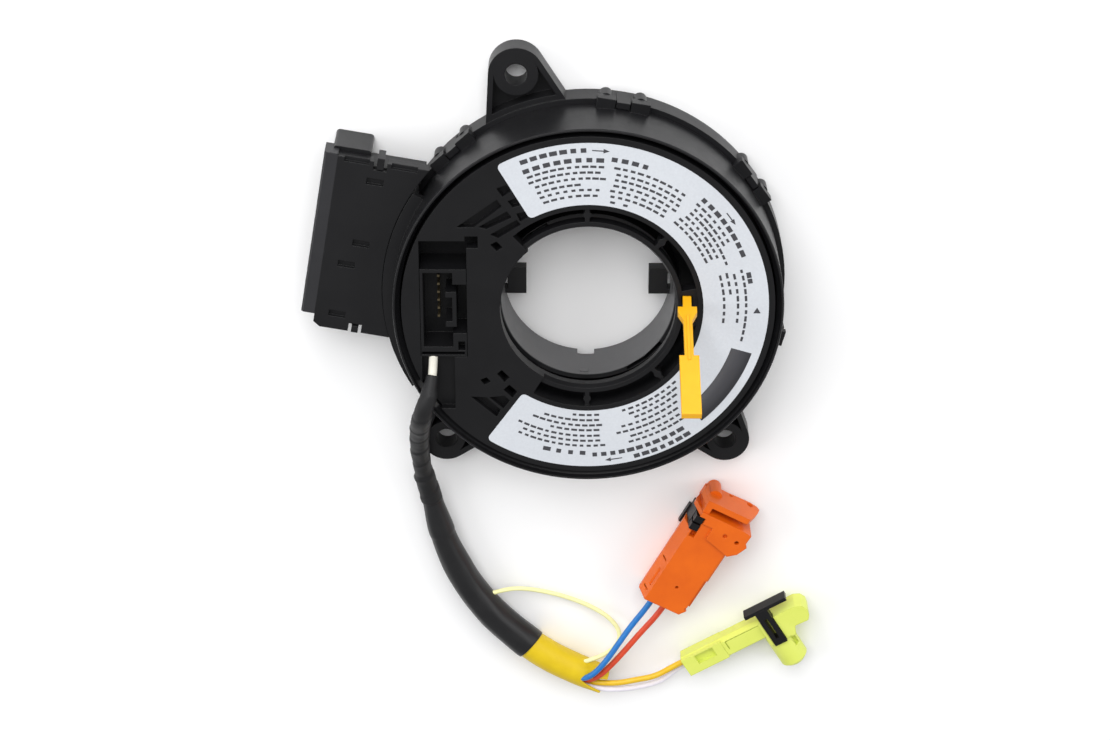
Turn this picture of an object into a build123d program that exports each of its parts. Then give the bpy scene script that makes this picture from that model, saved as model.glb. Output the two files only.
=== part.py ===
from build123d import *
import os
from math import atan2, cos, degrees, pi, radians, sin, tan

# Clock spring (spiral cable) of a steering column, lying on its back with its harness on the same surface.
# The origin is on the steering axis in the back plane, +Z comes out of the printed face towards the driver,
# and +Y points at the upper screw ear. Millimetres.

# --- drum, heights above the back plane ---
drum_depth = 22.0            # back plane to the printed face
seam_height = 6.4            # where the upper casing meets the lower housing
rim_rise = 0.5               # the casing's rim stands this far above the printed face
cover_plate = 2.95           # thickness of the rotor cover's plate
partition_height = 11.3      # underside of the rotor hub's partition
partition_wall = 1.3
housing_floor = 1.8          # thickness of the lower housing's floor
retainer_depth = 1.7         # recess in the back for the sleeve's retaining flange

# --- drum, radii ---
bore_radius = 21.0           # steering column passage through the sleeve
sleeve_mouth = 21.55         # the sleeve's bore at its front edge
sleeve_wall = 1.4
hub_ring_inner = 21.7
hub_ring_width = 1.8
pocket_width = 3.6           # the ring-shaped recess round the hub ring
hub_wall = 1.7               # the tube that the flat cable winds on
cover_radius = 46.1
rim_gap = 1.55               # open groove between the rotor cover and the casing's rim
rim_wall = 0.6
casing_wall = 1.7
band_step = 1.35             # the lower housing's outer wall stands out this far from the casing's
band_wall = 1.8
bulge_reach = 2.9            # how far the cable outlet stands out from the casing
bulge_start = 147.0
bulge_end = 210.0

running_gap = 0.4            # between parts that turn past each other
fit_gap = 0.12               # between parts that are clipped together
face_sink = 0.15             # the label's thickness, let into the face's level

# --- label and the plain part of the face ---
label_margin = 1.6           # bare edge between the label and the rotor cover's rim
label_hem = 1.3              # and between the label and the recess round the hub ring
label_start = -124.6
label_end = 120.2
label_corner = 1.2

# --- screw ears ---
ear_thickness = 6.0
ear_hole_radius = 2.75
ear_reach = 8.685            # screw holes from the lower housing's outer wall
ear_upper_angle = 107.78
ear_lower_angle = 51.478     # either side of the origin, below the X axis
ear_upper_radius = 6.8
ear_lower_radius = 6.3
ear_rim = 1.4
ear_recess = 4.2

# --- casing clips ---
clip_angles = (80.5, 35.5, 132.5, -100.0, -20.0)
clip_lug = 4.6               # width of each of a clip's two lugs
clip_tongue = 3.4
clip_reach = 2.4             # how far the lugs stand out from the casing's wall
clip_rise = 2.8
rest_angle = -14.5           # single rest for the mating part, above the band
rest_width = 4.0
rest_height = 12.4
rest_thickness = 1.8

# --- connector box on the left, in its own turned frame (u along its top edge, v up its side) ---
box_turn = -10.0
box_depth = 14.0             # back plane to the cover's face
box_reach = 15.25            # the cover's left edge from the bulge's wall
box_bottom = -20.4
box_top = 26.4
box_wall = 1.5
box_skirt = 3.4              # how far the cover's skirt reaches down the box
box_notch = 1.8              # the box is this much narrower than its cover, top and bottom
box_back_step = 4.5          # the back of the box is set in from its top edge, up to this height
box_back_inset = 2.9
end_cap_width = 3.4
end_cap_bottom = -17.0
end_cap_depth = 6.0
end_cap_rise = 0.5           # above the cover's top edge
raised_block_width = 9.4     # socket shroud that stands up past the cover's top edge
raised_block_rise = 1.1
raised_block_out = 2.1       # it stands this far left of the box
main_socket = (11.6, 20.0, 9.0)      # width, height and depth of the vehicle socket in the back
main_socket_in = 8.2         # the sockets' middles from the cover's left edge
main_socket_height = -4.0
airbag_socket = (6.0, 8.4, 9.0)
airbag_socket_in = 5.2
airbag_socket_height = 19.4
main_pitch = 3.6
airbag_pitch = 3.2
contact_width = 0.7
contact_length = 4.4

# --- socket for the steering wheel switches, on the rotor's face ---
socket_width = 11.4
socket_height = 24.0
socket_floor = 1.2
socket_inset = 10.45         # the socket's middle from the rotor cover's rim
socket_drop = -1.1
socket_wall = 1.0
cavity_width = 7.3
cavity_height = 20.3
latch_window = (3.8, 13.4)
pin_pitch = 2.2
pin_count = 7
pin_width = 0.6
pin_length = 3.8

# --- dogs in the bore ---
dog_reach = 5.6
dog_width = 7.0
dog_thickness = 3.3
dog_top = 7.0                # height of the dogs' front faces
dog_shift = 0.7
dog_slot = 4.5               # slot through each dog's root
sleeve_setback = 7.05        # the sleeve's front edge below the printed face

# --- lock pin ---
pin_angle = 5.8              # where the pin's slot is, round the axis
pin_radius = 24.4
pin_lean = 22.0              # the pin leans this far from the steering axis, towards -Y
pin_thickness = 1.7
pin_tip_width = 2.1
pin_tip_hidden = 3.4
pin_wing_width = 4.7
pin_wing_start = 2.8
pin_wing_length = 4.4
pin_neck_width = 2.2
pin_neck_length = 11.2
paddle_width = 4.8
paddle_length = 18.2
pin_slot_gap = 0.3
pin_slot_depth = 14.0

# --- cable and cords ---
cable_thickness = 0.7
cable_turns = 3
lead_diameter = 2.2
neck_diameter = 5.2
sleeve_diameter = 9.0
tube_diameter = 8.4
wire_diameter = 1.6
loop_diameter = 1.2

# --- plugs at the harness's end, each in its own turned frame (a along the plug, s to its right) ---
orange_at = (20.1, -94.3)
orange_turn = 62.0
orange_right = 7.9           # from the plug's middle line to its right side
orange_crest = 4.5           # and to the left edge of its flat top
orange_flank = 6.05          # and to its left side, where it is widest
orange_flank_height = 5.8
orange_foot = 4.2            # the left side draws in to this at the bottom
orange_thickness = 11.0
orange_length = 31.3         # wire end to the trough in front of the end plate
orange_trough = 1.9
orange_trough_floor = 3.4
orange_end_plate = 1.7
orange_shoulder = 22.4       # where the part that mates to the right begins
lock_seat_start = 24.9       # seat in the orange plug for its lock
lock_seat_end = 29.9
lock_seat_right = 2.7
orange_lock_floor = 1.1
yellow_at = (27.2, -115.7)
yellow_turn = 31.5
yellow_right = 4.6
yellow_left = 1.3
yellow_low = 1.3             # underside and top of the stem
yellow_top = 7.3
yellow_length = 25.0
yellow_head_low = 2.2
yellow_head_top = 8.4
barrel_radius = 3.95
barrel_along = 26.6
barrel_height = 4.25
barrel_start = 3.6           # from the plug's middle line, to the right
barrel_end = 16.4
yellow_lock_width = 3.6
yellow_lock_floor = 6.2
yellow_lock_top = 8.9
yellow_lock_at = 26.8
yellow_bar_at = 28.3
yellow_bar_left = 4.3

# --- worked out from the above ---
face_top = drum_depth - face_sink
cover_low = face_top - cover_plate
partition_top = partition_height + partition_wall
pocket_inner = hub_ring_inner + hub_ring_width
pocket_outer = pocket_inner + pocket_width
hub_radius = pocket_outer + hub_wall
rim_inner = cover_radius + rim_gap
casing_radius = rim_inner + rim_wall
casing_inner = casing_radius - casing_wall
band_radius = casing_radius + band_step
ear_circle = band_radius + ear_reach
label_outer = cover_radius - label_margin
label_inner = pocket_outer + label_hem
rim_top = drum_depth + rim_rise
hub_ring_top = face_top - 0.6
hub_ring_low = hub_ring_top - 3.0
floor_low = retainer_depth
floor_top = floor_low + housing_floor
bulge_radius = casing_radius + bulge_reach
box_left = -(bulge_radius + box_reach)
main_socket_at = (box_left + main_socket_in, main_socket_height)
airbag_socket_at = (box_left + airbag_socket_in, airbag_socket_height)
socket_at = (-(cover_radius - socket_inset), socket_drop)
hub_low = floor_top + running_gap


def ring(outer, inner, low, high):
    return Pos(0, 0, low) * extrude(Circle(outer) - Circle(inner), high - low)


def on_circle(radius, angle):
    return (radius * cos(radians(angle)), radius * sin(radians(angle)))


def sector(inner, outer, start, end):
    """Flat piece of a ring between two angles."""
    return make_face([
        CenterArc((0, 0), outer, start, end - start),
        Line(on_circle(outer, end), on_circle(inner, end)),
        CenterArc((0, 0), inner, end, start - end),
        Line(on_circle(inner, start), on_circle(outer, start)),
    ])


def slab(sketch, low, high):
    return Pos(0, 0, low) * extrude(sketch, high - low)


def block(width, height, low, high, at=(0, 0)):
    return slab(Pos(at[0], at[1]) * Rectangle(width, height), low, high)


def polygon(*points):
    return make_face(Polyline(*points, close=True))


def turned(shape, angle):
    return Rot(0, 0, angle) * shape


def save(shape, name):
    shape.label = name
    export_step(shape, f"parts/{name}.step")


# ---------- stator: upper casing ----------
def clip_bar(inner, outer, width, low, high, shift):
    """A bar standing on the casing's wall at angle 0, moved sideways."""
    return block(outer - inner, width, low, high, ((outer + inner) / 2, shift))


def upper_casing():
    wall = make_face(Polyline(
        (casing_inner, seam_height), (casing_radius, seam_height), (casing_radius, rim_top - 0.3),
        (casing_radius - 0.2, rim_top), (rim_inner, rim_top), (rim_inner, drum_depth - 1.2),
        (casing_inner, drum_depth - 2.2), close=True))
    body = revolve(Plane.XZ * wall, Axis.Z)
    spigot = ring(casing_inner + 0.9, casing_inner, seam_height - 1.6, seam_height)
    roof = slab(sector(casing_radius - 0.3, bulge_radius, bulge_start, bulge_end),
                box_depth - 1.6, box_depth + 0.5)
    side = slab(sector(bulge_radius - 1.5, bulge_radius, bulge_start, bulge_end),
                seam_height, box_depth - 1.6)
    body = body + spigot + roof + side
    for angle in clip_angles:
        for shift in (-1, 1):
            offset_y = shift * (clip_tongue + clip_lug + 0.5) / 2
            lug = clip_bar(casing_radius - 0.4, casing_radius + clip_reach, clip_lug,
                           seam_height, seam_height + clip_rise, offset_y)
            body = body + turned(lug, angle)
    rest = clip_bar(casing_radius - 0.4, bulge_radius, rest_width, rest_height - rest_thickness,
                    rest_height, 0)
    return body + turned(rest, rest_angle)


# ---------- stator: lower housing with the screw ears ----------
def ear_outline(hole, radius, right, left):
    """Convex outline from a round end about the screw hole to a foot on the drum, by degrees to each side."""
    angle = degrees(atan2(hole[1], hole[0]))
    foot = Line(on_circle(band_radius - 1.5, angle - right), on_circle(band_radius - 1.5, angle + left))
    return make_hull([*(Pos(*hole) * Circle(radius)).edges(), foot])


def ear(hole, radius, right, left):
    outline = ear_outline(hole, radius, right, left)
    plate = slab(outline, 0, ear_thickness)
    hollow = offset(outline, -ear_rim) - Pos(*hole) * Circle(radius - ear_rim)
    hollow = hollow - Circle(band_radius + ear_rim)
    recess = slab(hollow, ear_thickness - ear_recess, ear_thickness + 1)
    bore = slab(Pos(*hole) * Circle(ear_hole_radius), -1, ear_thickness + 1)
    return plate - recess - bore


ears = (
    (on_circle(ear_circle, ear_upper_angle), ear_upper_radius, 12.0, 14.0),
    (on_circle(ear_circle, ear_lower_angle - 180), ear_lower_radius, 12.5, 12.5),
    (on_circle(ear_circle, -ear_lower_angle), ear_lower_radius, 12.5, 12.5),
)


def lower_housing():
    band = ring(band_radius, band_radius - band_wall, 0, seam_height)
    floor = ring(band_radius - band_wall, hub_radius + running_gap + 0.3, floor_low, floor_top)
    back_lip = ring(hub_radius + 6.4, hub_radius + 4.4, 0, floor_low)
    body = band + floor + back_lip
    for step in range(12):
        rib = block(band_radius - band_wall - hub_radius - 6.0, 1.4, 0.5, floor_low,
                    ((band_radius - band_wall + hub_radius + 6.0) / 2, 0))
        body = body + turned(rib, 15 + step * 30)
    drum_space = Pos(0, 0, -1) * Cylinder(band_radius - band_wall, 40,
                                          align=(Align.CENTER, Align.CENTER, Align.MIN))
    for placing in ears:
        body = body + (ear(*placing) - drum_space)
    for angle in clip_angles:
        tongue = clip_bar(casing_radius + 0.2, casing_radius + clip_reach - 0.6, clip_tongue,
                          1.6, seam_height + clip_rise - 0.3, 0)
        body = body + turned(tongue, angle)
        for shift in (-1, 1):
            offset_y = shift * (clip_tongue + clip_lug + 0.5) / 2
            bump = Pos(band_radius - 0.4, offset_y, 2.2) * Cylinder(
                1.7, seam_height - 2.4, align=(Align.CENTER, Align.CENTER, Align.MIN))
            body = body + turned(bump, angle)
    outlet = slab(sector(band_radius - 0.3, bulge_radius, bulge_start, bulge_end), 0, seam_height)
    return body + outlet


# ---------- stator: connector box ----------
def box_profile(left, bottom, top, gap):
    """Outline of the box, cut round where it meets the drum."""
    right = -casing_inner / 2
    outline = Pos((left + right) / 2, (bottom + top) / 2) * Rectangle(right - left, top - bottom)
    return outline - Circle(bulge_radius + gap)


slots = ((9.8, 21.1), (8.8, 4.1), (6.0, -2.1), (5.6, -16.1))     # from the cover's left edge
edge_slots = ((1.7, 7.8), (13.2, 19.6))
snap_at = box_left + 10.5    # where the box's snap tab is along u
snap_width = 1.7


def connector_box():
    bottom = box_bottom + box_notch
    top = box_top - box_notch
    inside = box_depth - box_wall
    body = slab(box_profile(box_left + 0.6, bottom, top, 0), box_back_step, inside)
    body = body + slab(box_profile(box_left + 0.6, bottom, top - box_back_inset, 0), 0, box_back_step)
    block_top = box_top + raised_block_rise
    block_low = top - box_back_inset - 1.0
    shroud = block(raised_block_width, block_top - block_low, 0, box_depth - box_skirt - fit_gap,
                   (box_left + 0.6 - raised_block_out + raised_block_width / 2, (block_top + block_low) / 2))
    shroud = fillet(shroud.edges().filter_by(Axis.Z).group_by(Axis.Y)[-1], 0.9)
    cap_top = box_top + end_cap_rise + fit_gap
    cap_space = block(end_cap_width, cap_top - end_cap_bottom,
                      box_depth - end_cap_depth - fit_gap, box_depth,
                      (box_left + fit_gap - end_cap_width / 2, (cap_top + end_cap_bottom) / 2))
    body = body + shroud - cap_space
    for low, high in ((top, box_top + 1.2), (box_bottom, bottom)):
        tab = block(snap_width, high - low, inside - 3.6, box_depth + 0.3, (snap_at, (high + low) / 2))
        body = body + tab
    for at, size in ((main_socket_at, main_socket), (airbag_socket_at, airbag_socket)):
        body = body - block(size[0], size[1], -1, size[2], at)
    return turned(body, box_turn)


def box_contacts(at, size, columns, rows, pitch):
    """Square pins standing in a socket, from its floor towards the back."""
    group = []
    for column in range(columns):
        for row in range(rows):
            place = (at[0] + (column - (columns - 1) / 2) * pitch, at[1] + (row - (rows - 1) / 2) * pitch)
            group.append(turned(block(contact_width, contact_width, size[2] - contact_length,
                                      size[2], place), box_turn))
    return Compound(group)


def box_cover():
    low = box_depth - box_skirt
    outer = box_profile(box_left, box_bottom, box_top, fit_gap)
    plate = slab(outer, box_depth - box_wall, box_depth)
    skirt = slab(outer - box_profile(box_left + 0.5, box_bottom + box_notch - fit_gap,
                                     box_top - box_notch + fit_gap, -1), low, box_depth - box_wall)
    body = plate + skirt
    for inward, height in slots:
        body = body - block(4.2, 1.7, box_depth - 1.0, box_depth + 1, (box_left + inward, height))
    for left, right in edge_slots:
        body = body - block(right - left, 1.4, box_depth - 1.0, box_depth + 1,
                            (box_left + (left + right) / 2, box_top - 0.4))
    for snap_v in (box_top, box_bottom):
        body = body - block(snap_width + 1.6, 4.4, low - 1, box_depth + 1, (snap_at, snap_v))
    corner = polygon((box_left - 1, box_bottom - 1), (box_left + 1.7, box_bottom - 1),
                     (box_left + 1.7, box_bottom), (box_left, box_bottom + 1.2),
                     (box_left - 1, box_bottom + 1.2))
    body = body - slab(corner, low - 1, box_depth + 1)
    return turned(body, box_turn)


def box_end_cap():
    cap_top = box_top + end_cap_rise
    strip = block(end_cap_width, cap_top - end_cap_bottom, box_depth - end_cap_depth, box_depth,
                  (box_left - end_cap_width / 2, (cap_top + end_cap_bottom) / 2))
    strip = chamfer(strip.edges().filter_by(Axis.Y).group_by(Axis.X)[0].group_by(Axis.Z)[-1], 0.5)
    return turned(strip, box_turn)


# ---------- rotor ----------
ribs = (91.0, 45.5, -46.0, -90.0)
solid_start = 133.0          # the hub ring's recess ends here, at the socket's side
solid_end = 240.0
bridge_start = -10.0         # short bridge across the recess, which holds the lock pin
bridge_end = 12.0


def pin_place():
    """The pin's frame: origin where it leaves the face, Z along the pin."""
    x, y = on_circle(pin_radius, pin_angle)
    return Pos(x, y, hub_ring_top) * Rot(pin_lean, 0, 0)


def pin_slot():
    size = (pin_tip_width + 2 * pin_slot_gap, pin_thickness + 2 * pin_slot_gap)
    return pin_place() * (Pos(0, 0, -pin_slot_depth) * extrude(Rectangle(*size), pin_slot_depth + 6))


face_windows = (
    ((-30.2, 19.8), (-27.0, 19.8), (-27.0, 16.7), (-30.2, 16.7)),
    ((-24.0, 17.6), (-22.4, 18.5), (-21.0, 16.9), (-22.4, 15.9)),
    ((-26.8, -19.7), (-25.2, -19.0), (-24.1, -20.2), (-25.8, -21.1)),
    ((-22.6, -18.0), (-21.4, -16.9), (-19.4, -19.0), (-20.7, -20.3)),
    ((-21.0, -22.5), (-19.5, -21.1), (-17.5, -23.0), (-18.7, -24.8)),
)
face_pockets = (
    ((-29.2, -24.5), (-25.2, -24.7), (-21.7, -28.3), (-22.7, -30.3)),
    ((-24.6, -24.7), (-20.8, -24.2), (-19.4, -25.6), (-21.0, -27.9)),
    ((-32.2, 22.2), (-22.3, 29.6), (-21.1, 27.8), (-28.0, 22.2)),
    ((-26.8, 22.3), (-19.9, 26.5), (-18.7, 24.9), (-24.8, 21.8)),
    ((-24.0, 20.3), (-17.5, 24.3), (-16.5, 23.0), (-22.0, 19.4)),
    ((-22.4, 32.5), (-20.0, 33.5), (-18.8, 31.9), (-20.9, 30.3)),
    ((-19.7, 29.2), (-17.6, 30.1), (-16.1, 28.3), (-18.5, 27.5)),
    ((-17.6, 25.9), (-15.2, 26.6), (-14.3, 25.3), (-16.7, 23.8)),
)
channel_depth = 2.2
channel_left = -41.2
channel_right = -33.1
channel_end = -27.9
upper_pocket_top = 18.5


def rotor_cover():
    plate = ring(cover_radius, pocket_outer, cover_low, face_top)
    skirt = ring(cover_radius, cover_radius - 1.2, partition_top, cover_low)
    inner_wall = ring(pocket_outer + 1.3, pocket_outer, partition_top, cover_low)
    hub_ring = revolve(Plane.XZ * polygon(
        (hub_ring_inner, hub_ring_low), (pocket_inner, hub_ring_low), (pocket_inner, hub_ring_top),
        (hub_ring_inner + 0.6, hub_ring_top), (hub_ring_inner, hub_ring_top - 1.2)), Axis.Z)
    side = slab(sector(hub_ring_inner, pocket_outer + 0.5, solid_start, solid_end), hub_ring_low, face_top)
    bridge = slab(sector(pocket_inner - 0.3, pocket_outer + 0.5, bridge_start, bridge_end),
                  hub_ring_low, hub_ring_top)
    body = plate + skirt + inner_wall + hub_ring + side + bridge
    for angle in ribs:
        rib = block(pocket_width + 0.8, 1.1, hub_ring_low, hub_ring_top,
                    ((pocket_inner + pocket_outer) / 2, 0))
        knob = Pos((pocket_inner + pocket_outer) / 2, 0, hub_ring_low) * Cylinder(
            0.95, hub_ring_top - hub_ring_low, align=(Align.CENTER, Align.CENTER, Align.MIN))
        body = body + turned(rib + knob, angle)
    left = socket_at[0] - socket_width / 2 - fit_gap
    right = socket_at[0] + socket_width / 2 + fit_gap
    bottom = socket_at[1] - socket_height / 2 - fit_gap
    window = block(right - left, upper_pocket_top - bottom, cover_low - 1, face_top + 1,
                   ((left + right) / 2, (upper_pocket_top + bottom) / 2))
    body = body - window
    body = body - block(channel_right - channel_left, bottom - channel_end,
                        face_top - channel_depth, face_top + 1,
                        ((channel_left + channel_right) / 2, (bottom + channel_end) / 2 + 0.01))
    for points in face_windows:
        body = body - slab(polygon(*points), cover_low - 1, face_top + 1)
    for points in face_pockets:
        body = body - slab(polygon(*points), face_top - 2.0, face_top + 1)
    return body - pin_slot()


def rotor_hub():
    tube = ring(hub_radius, pocket_outer, hub_low, partition_height)
    partition = ring(cover_radius - 0.3, pocket_outer, partition_height, partition_top)
    return tube + partition


def cancel_sleeve():
    """Inner sleeve with the retaining flange at the back and the two dogs that stand into the bore."""
    back_edge = 2.6
    front_edge = drum_depth - sleeve_setback
    outer = sleeve_mouth + sleeve_wall
    profile = make_face(Polyline(
        (bore_radius, back_edge), (sleeve_mouth, front_edge), (outer, front_edge), (outer, hub_low + 1.8),
        (pocket_outer, hub_low + 1.8), (pocket_outer, floor_low - running_gap),
        (hub_radius + 2.4, floor_low - running_gap), (hub_radius + 2.4, 0.4),
        (bore_radius + 2.2, 0.4), close=True))
    body = revolve(Plane.XZ * profile, Axis.Z)
    body = body - block(4.3, 4.0, -1, back_edge + 2.4, (-0.2, -bore_radius - 0.6))
    slit = block(1.0, 6.0, 5.0, front_edge + 1, (sleeve_mouth + 0.6, 0))
    for angle in (-42.0, -55.5, 124.5, 138.0):
        body = body - turned(slit, angle)
    catch = block(1.0, 2.0, front_edge - 1.6, front_edge - 0.6, (sleeve_mouth - 0.1, 0))
    body = body + turned(catch, -92)
    for side in (-1, 1):
        reach = block(dog_reach + 1.2, dog_width, dog_top - dog_thickness, dog_top,
                      (side * (bore_radius - dog_reach / 2 + 0.6), dog_shift))
        relief = block(0.8, dog_slot, dog_top - dog_thickness - 1, dog_top + 1,
                       (side * (bore_radius - 0.5), dog_shift))
        body = body + (reach - relief)
    return body


def switch_socket():
    x, y = socket_at
    low = partition_top
    shell = block(socket_width, socket_height, low, face_top + 0.05, socket_at)
    left = x - socket_width / 2 + socket_wall
    cavity_at = (left + cavity_width / 2 - 0.3, y + 0.9)
    cavity = block(cavity_width, cavity_height, low + socket_floor, face_top + 1, cavity_at)
    window_at = (cavity_at[0] + (cavity_width + latch_window[0]) / 2 - 0.1, y + 1.2)
    latch = block(latch_window[0] + 0.2, latch_window[1], low + socket_floor, face_top + 1, window_at)
    body = shell - cavity - latch
    slot = block(socket_width - 0.8, 0.8, face_top - 3.0, face_top + 1,
                 (x - 0.2, y - socket_height / 2 + 0.9))
    corner = block(1.7, 2.4, face_top - 3.0, face_top + 1,
                   (x + socket_width / 2 - 1.3, y - socket_height / 2 + 3.0))
    body = body - slot - corner
    key_x = x + 1.8
    key = block(1.0, 9.6, low + socket_floor, face_top - 0.3, (key_x + 0.9, y + 0.9))
    for shift in (-1, 1):
        key = key + block(2.6, 1.5, low + socket_floor, face_top - 0.3, (key_x, y + 0.9 + shift * 4.05))
    return body + key


def socket_pins():
    low = partition_top + socket_floor
    x = socket_at[0] - 1.35
    first = socket_at[1] + 10.4
    group = []
    for step in range(pin_count):
        group.append(block(pin_width, pin_width, low, low + pin_length, (x, first - step * pin_pitch)))
    return Compound(group)


def label():
    shape = sector(label_inner, label_outer, label_start, label_end)
    shape = fillet(shape.vertices(), label_corner)
    return slab(shape, face_top, drum_depth)


def spiral(start_radius, pitch, turns, side, thickness):
    """Half-turn arcs about two centres that alternate, which make a smooth spiral; side is -1 or 1."""
    edges = []
    radius = start_radius + side * thickness / 2
    for half in range(2 * turns):
        centre = pitch / 4 if half % 2 else -pitch / 4
        edges.append(CenterArc((centre, 0), radius, 180 * (half % 2), 180))
        radius += pitch / 2
    return edges


def flat_cable():
    start = hub_radius + 1.6
    pitch = (casing_inner - start - 1.2) / cable_turns
    outer = spiral(start, pitch, cable_turns, 1, cable_thickness)
    inner = spiral(start, pitch, cable_turns, -1, cable_thickness)
    ends = [Line(outer[0] @ 0, inner[0] @ 0), Line(outer[-1] @ 1, inner[-1] @ 1)]
    return slab(make_face(outer + ends + inner), hub_low, partition_height - running_gap)


# ---------- lock pin ----------
def lock_pin():
    wing_end = pin_wing_start + pin_wing_length
    neck_end = wing_end + pin_neck_length
    tip = pin_tip_width / 2
    wing = pin_wing_width / 2
    neck = pin_neck_width / 2
    paddle = paddle_width / 2
    half = [
        (tip * 0.7, -pin_tip_hidden), (tip, -pin_tip_hidden + 0.8), (tip, pin_wing_start),
        (wing, pin_wing_start), (wing, pin_wing_start + 1.8), (neck, wing_end),
        (neck, neck_end), (paddle, neck_end), (paddle, neck_end + paddle_length),
    ]
    mirrored = [(-x, z) for x, z in reversed(half)]
    blade = extrude(Plane.XZ * polygon(*half, *mirrored), pin_thickness / 2, both=True)
    rib = extrude(Plane.XZ * (Pos(0, (wing_end + neck_end) / 2) * Rectangle(0.7, neck_end - wing_end + 3)),
                  pin_thickness / 2 + 0.35, both=True)
    groove = Pos(0, -pin_thickness / 2, neck_end + paddle_length * 0.3) * Box(paddle_width + 1, 0.5, 0.6)
    return pin_place() * (blade + rib - groove)


# ---------- plugs ----------
def plug_place(at, turn):
    """The plug's frame: origin at the middle of its wire end, X along it, Y to its left."""
    return Pos(at[0], at[1], 0) * Rot(0, 0, turn)


def plug_point(at, turn, along, right, height):
    place = plug_place(at, turn) * Pos(along, -right, height)
    return tuple(place.position)


def plug_section(*points):
    """Cross-section of a plug, from points to its left and above the back plane."""
    return Plane.YZ * polygon(*points)


def orange_plug():
    """Two-way plug that lies on its side, with its mating part to the right."""
    right = -orange_right
    top = orange_thickness
    body = extrude(plug_section(
        (right + 0.6, 0), (orange_foot - 0.6, 0), (orange_foot, 0.7),
        (orange_flank - 0.2, orange_flank_height - 1),
        (orange_flank, orange_flank_height + 0.4), (orange_crest, top), (right + 0.6, top),
        (right, top - 0.6),
        (right, 0.6)), orange_length)
    corner = slab(polygon((-1, right - 1), (2.8, right - 1), (2.8, right + 1.3),
                          (1.9, right + 1.3), (1.9, right + 0.6),
                          (0, right + 1.9), (-1, right + 1.9)), -1, top + 1)
    rail = block(9.8, 1.0, top - 1.5, top + 1, (7.7, right + 0.5))
    slope = degrees(atan2(orange_flank - orange_crest, top - orange_flank_height - 0.4))
    flank = Pos(7.4, (orange_crest + orange_flank) / 2,
                (top + orange_flank_height + 0.4) / 2) * Rot(90 - slope, 0, 0)
    frame = flank * (Box(10.8, 4.4, 1.4) - Box(9.9, 3.5, 3) - Pos(0, -1.9, 0) * Box(9.9, 1.0, 3))
    slit = flank * (Pos(-0.6, 0.6, 0) * Box(5.8, 0.9, 1.8))
    vent = Pos(7.3, -1.3, top) * Cylinder(0.45, 3)
    pocket = block(2.0, 1.6, top - 2.0, top + 1, (24.0, orange_crest - 1.2))
    body = body - corner - rail - frame - slit - vent - pocket
    deck_top = top + 0.7
    deck = slab(polygon(
        (orange_shoulder, right), (orange_shoulder + 1.8, right - 2.1), (orange_shoulder + 4.8, right - 3.3),
        (orange_shoulder + 5.8, right - 2.5), (orange_length - 0.4, right - 2.6),
        (orange_length, right + 0.1),
        (orange_length, orange_crest), (orange_length - 5.4, orange_crest), (orange_length - 6.6, 0.4),
        (orange_shoulder + 1.4, -3.0)), 1.4, deck_top)
    mouth = block(5.6, 2.6, 3.4, top - 1.8, (orange_shoulder + 5.2, right - 2.2))
    step = block(4.2, 3.4, top - 0.5, deck_top + 1, (orange_length - 5.2, 1.4))
    deck = deck - mouth - step
    for along, left in ((27.7, -4.3), (27.3, -8.1)):
        deck = deck - Pos(along, left, top) * Cylinder(0.6, 4)
    bridge = slab(polygon((orange_length - 1, right + 1), (orange_length - 1, orange_crest - 0.4),
                          (orange_length + orange_trough + 0.5, orange_crest - 0.4),
                          (orange_length + orange_trough + 0.5, right + 1)), 0.4, orange_trough_floor)
    cheek = block(orange_trough + 1.5, 1.9, 0.4, top,
                  (orange_length + orange_trough / 2, orange_crest - 1.0))
    plate = extrude(plug_section(
        (right, top), (right - 0.9, top - 1.5), (right - 2.8, top - 5.6), (right - 3.4, 3.4),
        (right - 2.7, 2.2),
        (right - 0.5, 1.6), (-2.0, 1.9), (orange_foot, 1.6), (orange_flank - 0.4, orange_flank_height),
        (orange_crest, top)), orange_end_plate)
    plate = Pos(orange_length + orange_trough, 0, 0) * plate
    for left, height, radius in ((-2.6, 2.8, 0.6), (-8.4, 3.0, 0.9)):
        plate = plate - Pos(orange_length + orange_trough + orange_end_plate, left,
                            height) * Rot(0, 90, 0) * Cylinder(radius, 1.6)
    lug = Pos(orange_length + orange_trough + orange_end_plate - 0.6, 2.2, 0.6) * Cylinder(
        1.9, orange_flank_height, align=(Align.CENTER, Align.CENTER, Align.MIN))
    seat = slab(polygon((lock_seat_start, lock_seat_right), (lock_seat_end, lock_seat_right),
                        (lock_seat_end, orange_flank + 3), (lock_seat_start, orange_flank + 3)),
                        orange_lock_floor - 0.2, top + 3)
    return body + deck + bridge + cheek + plate + lug - seat


def orange_plug_lock():
    top = orange_thickness + 0.3
    inner = lock_seat_right + 0.2
    middle = (lock_seat_start + lock_seat_end) / 2
    base = block(lock_seat_end - lock_seat_start - 0.5, 0.8, orange_lock_floor + 1.0, top - 2.6,
                 (middle, orange_flank - 1.1))
    for side in (-1, 1):
        finger = block(1.9, orange_flank - 0.8 - inner, orange_lock_floor + 1.0, top,
                       (middle + side * 1.25, (orange_flank - 0.8 + inner) / 2))
        base = base + finger
    foot_left = orange_flank - 0.3
    foot = block(middle - 21.4, 0.6, orange_lock_floor, orange_lock_floor + 1.6,
                 ((middle + 21.4) / 2, foot_left - 0.3))
    return base + foot


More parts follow.
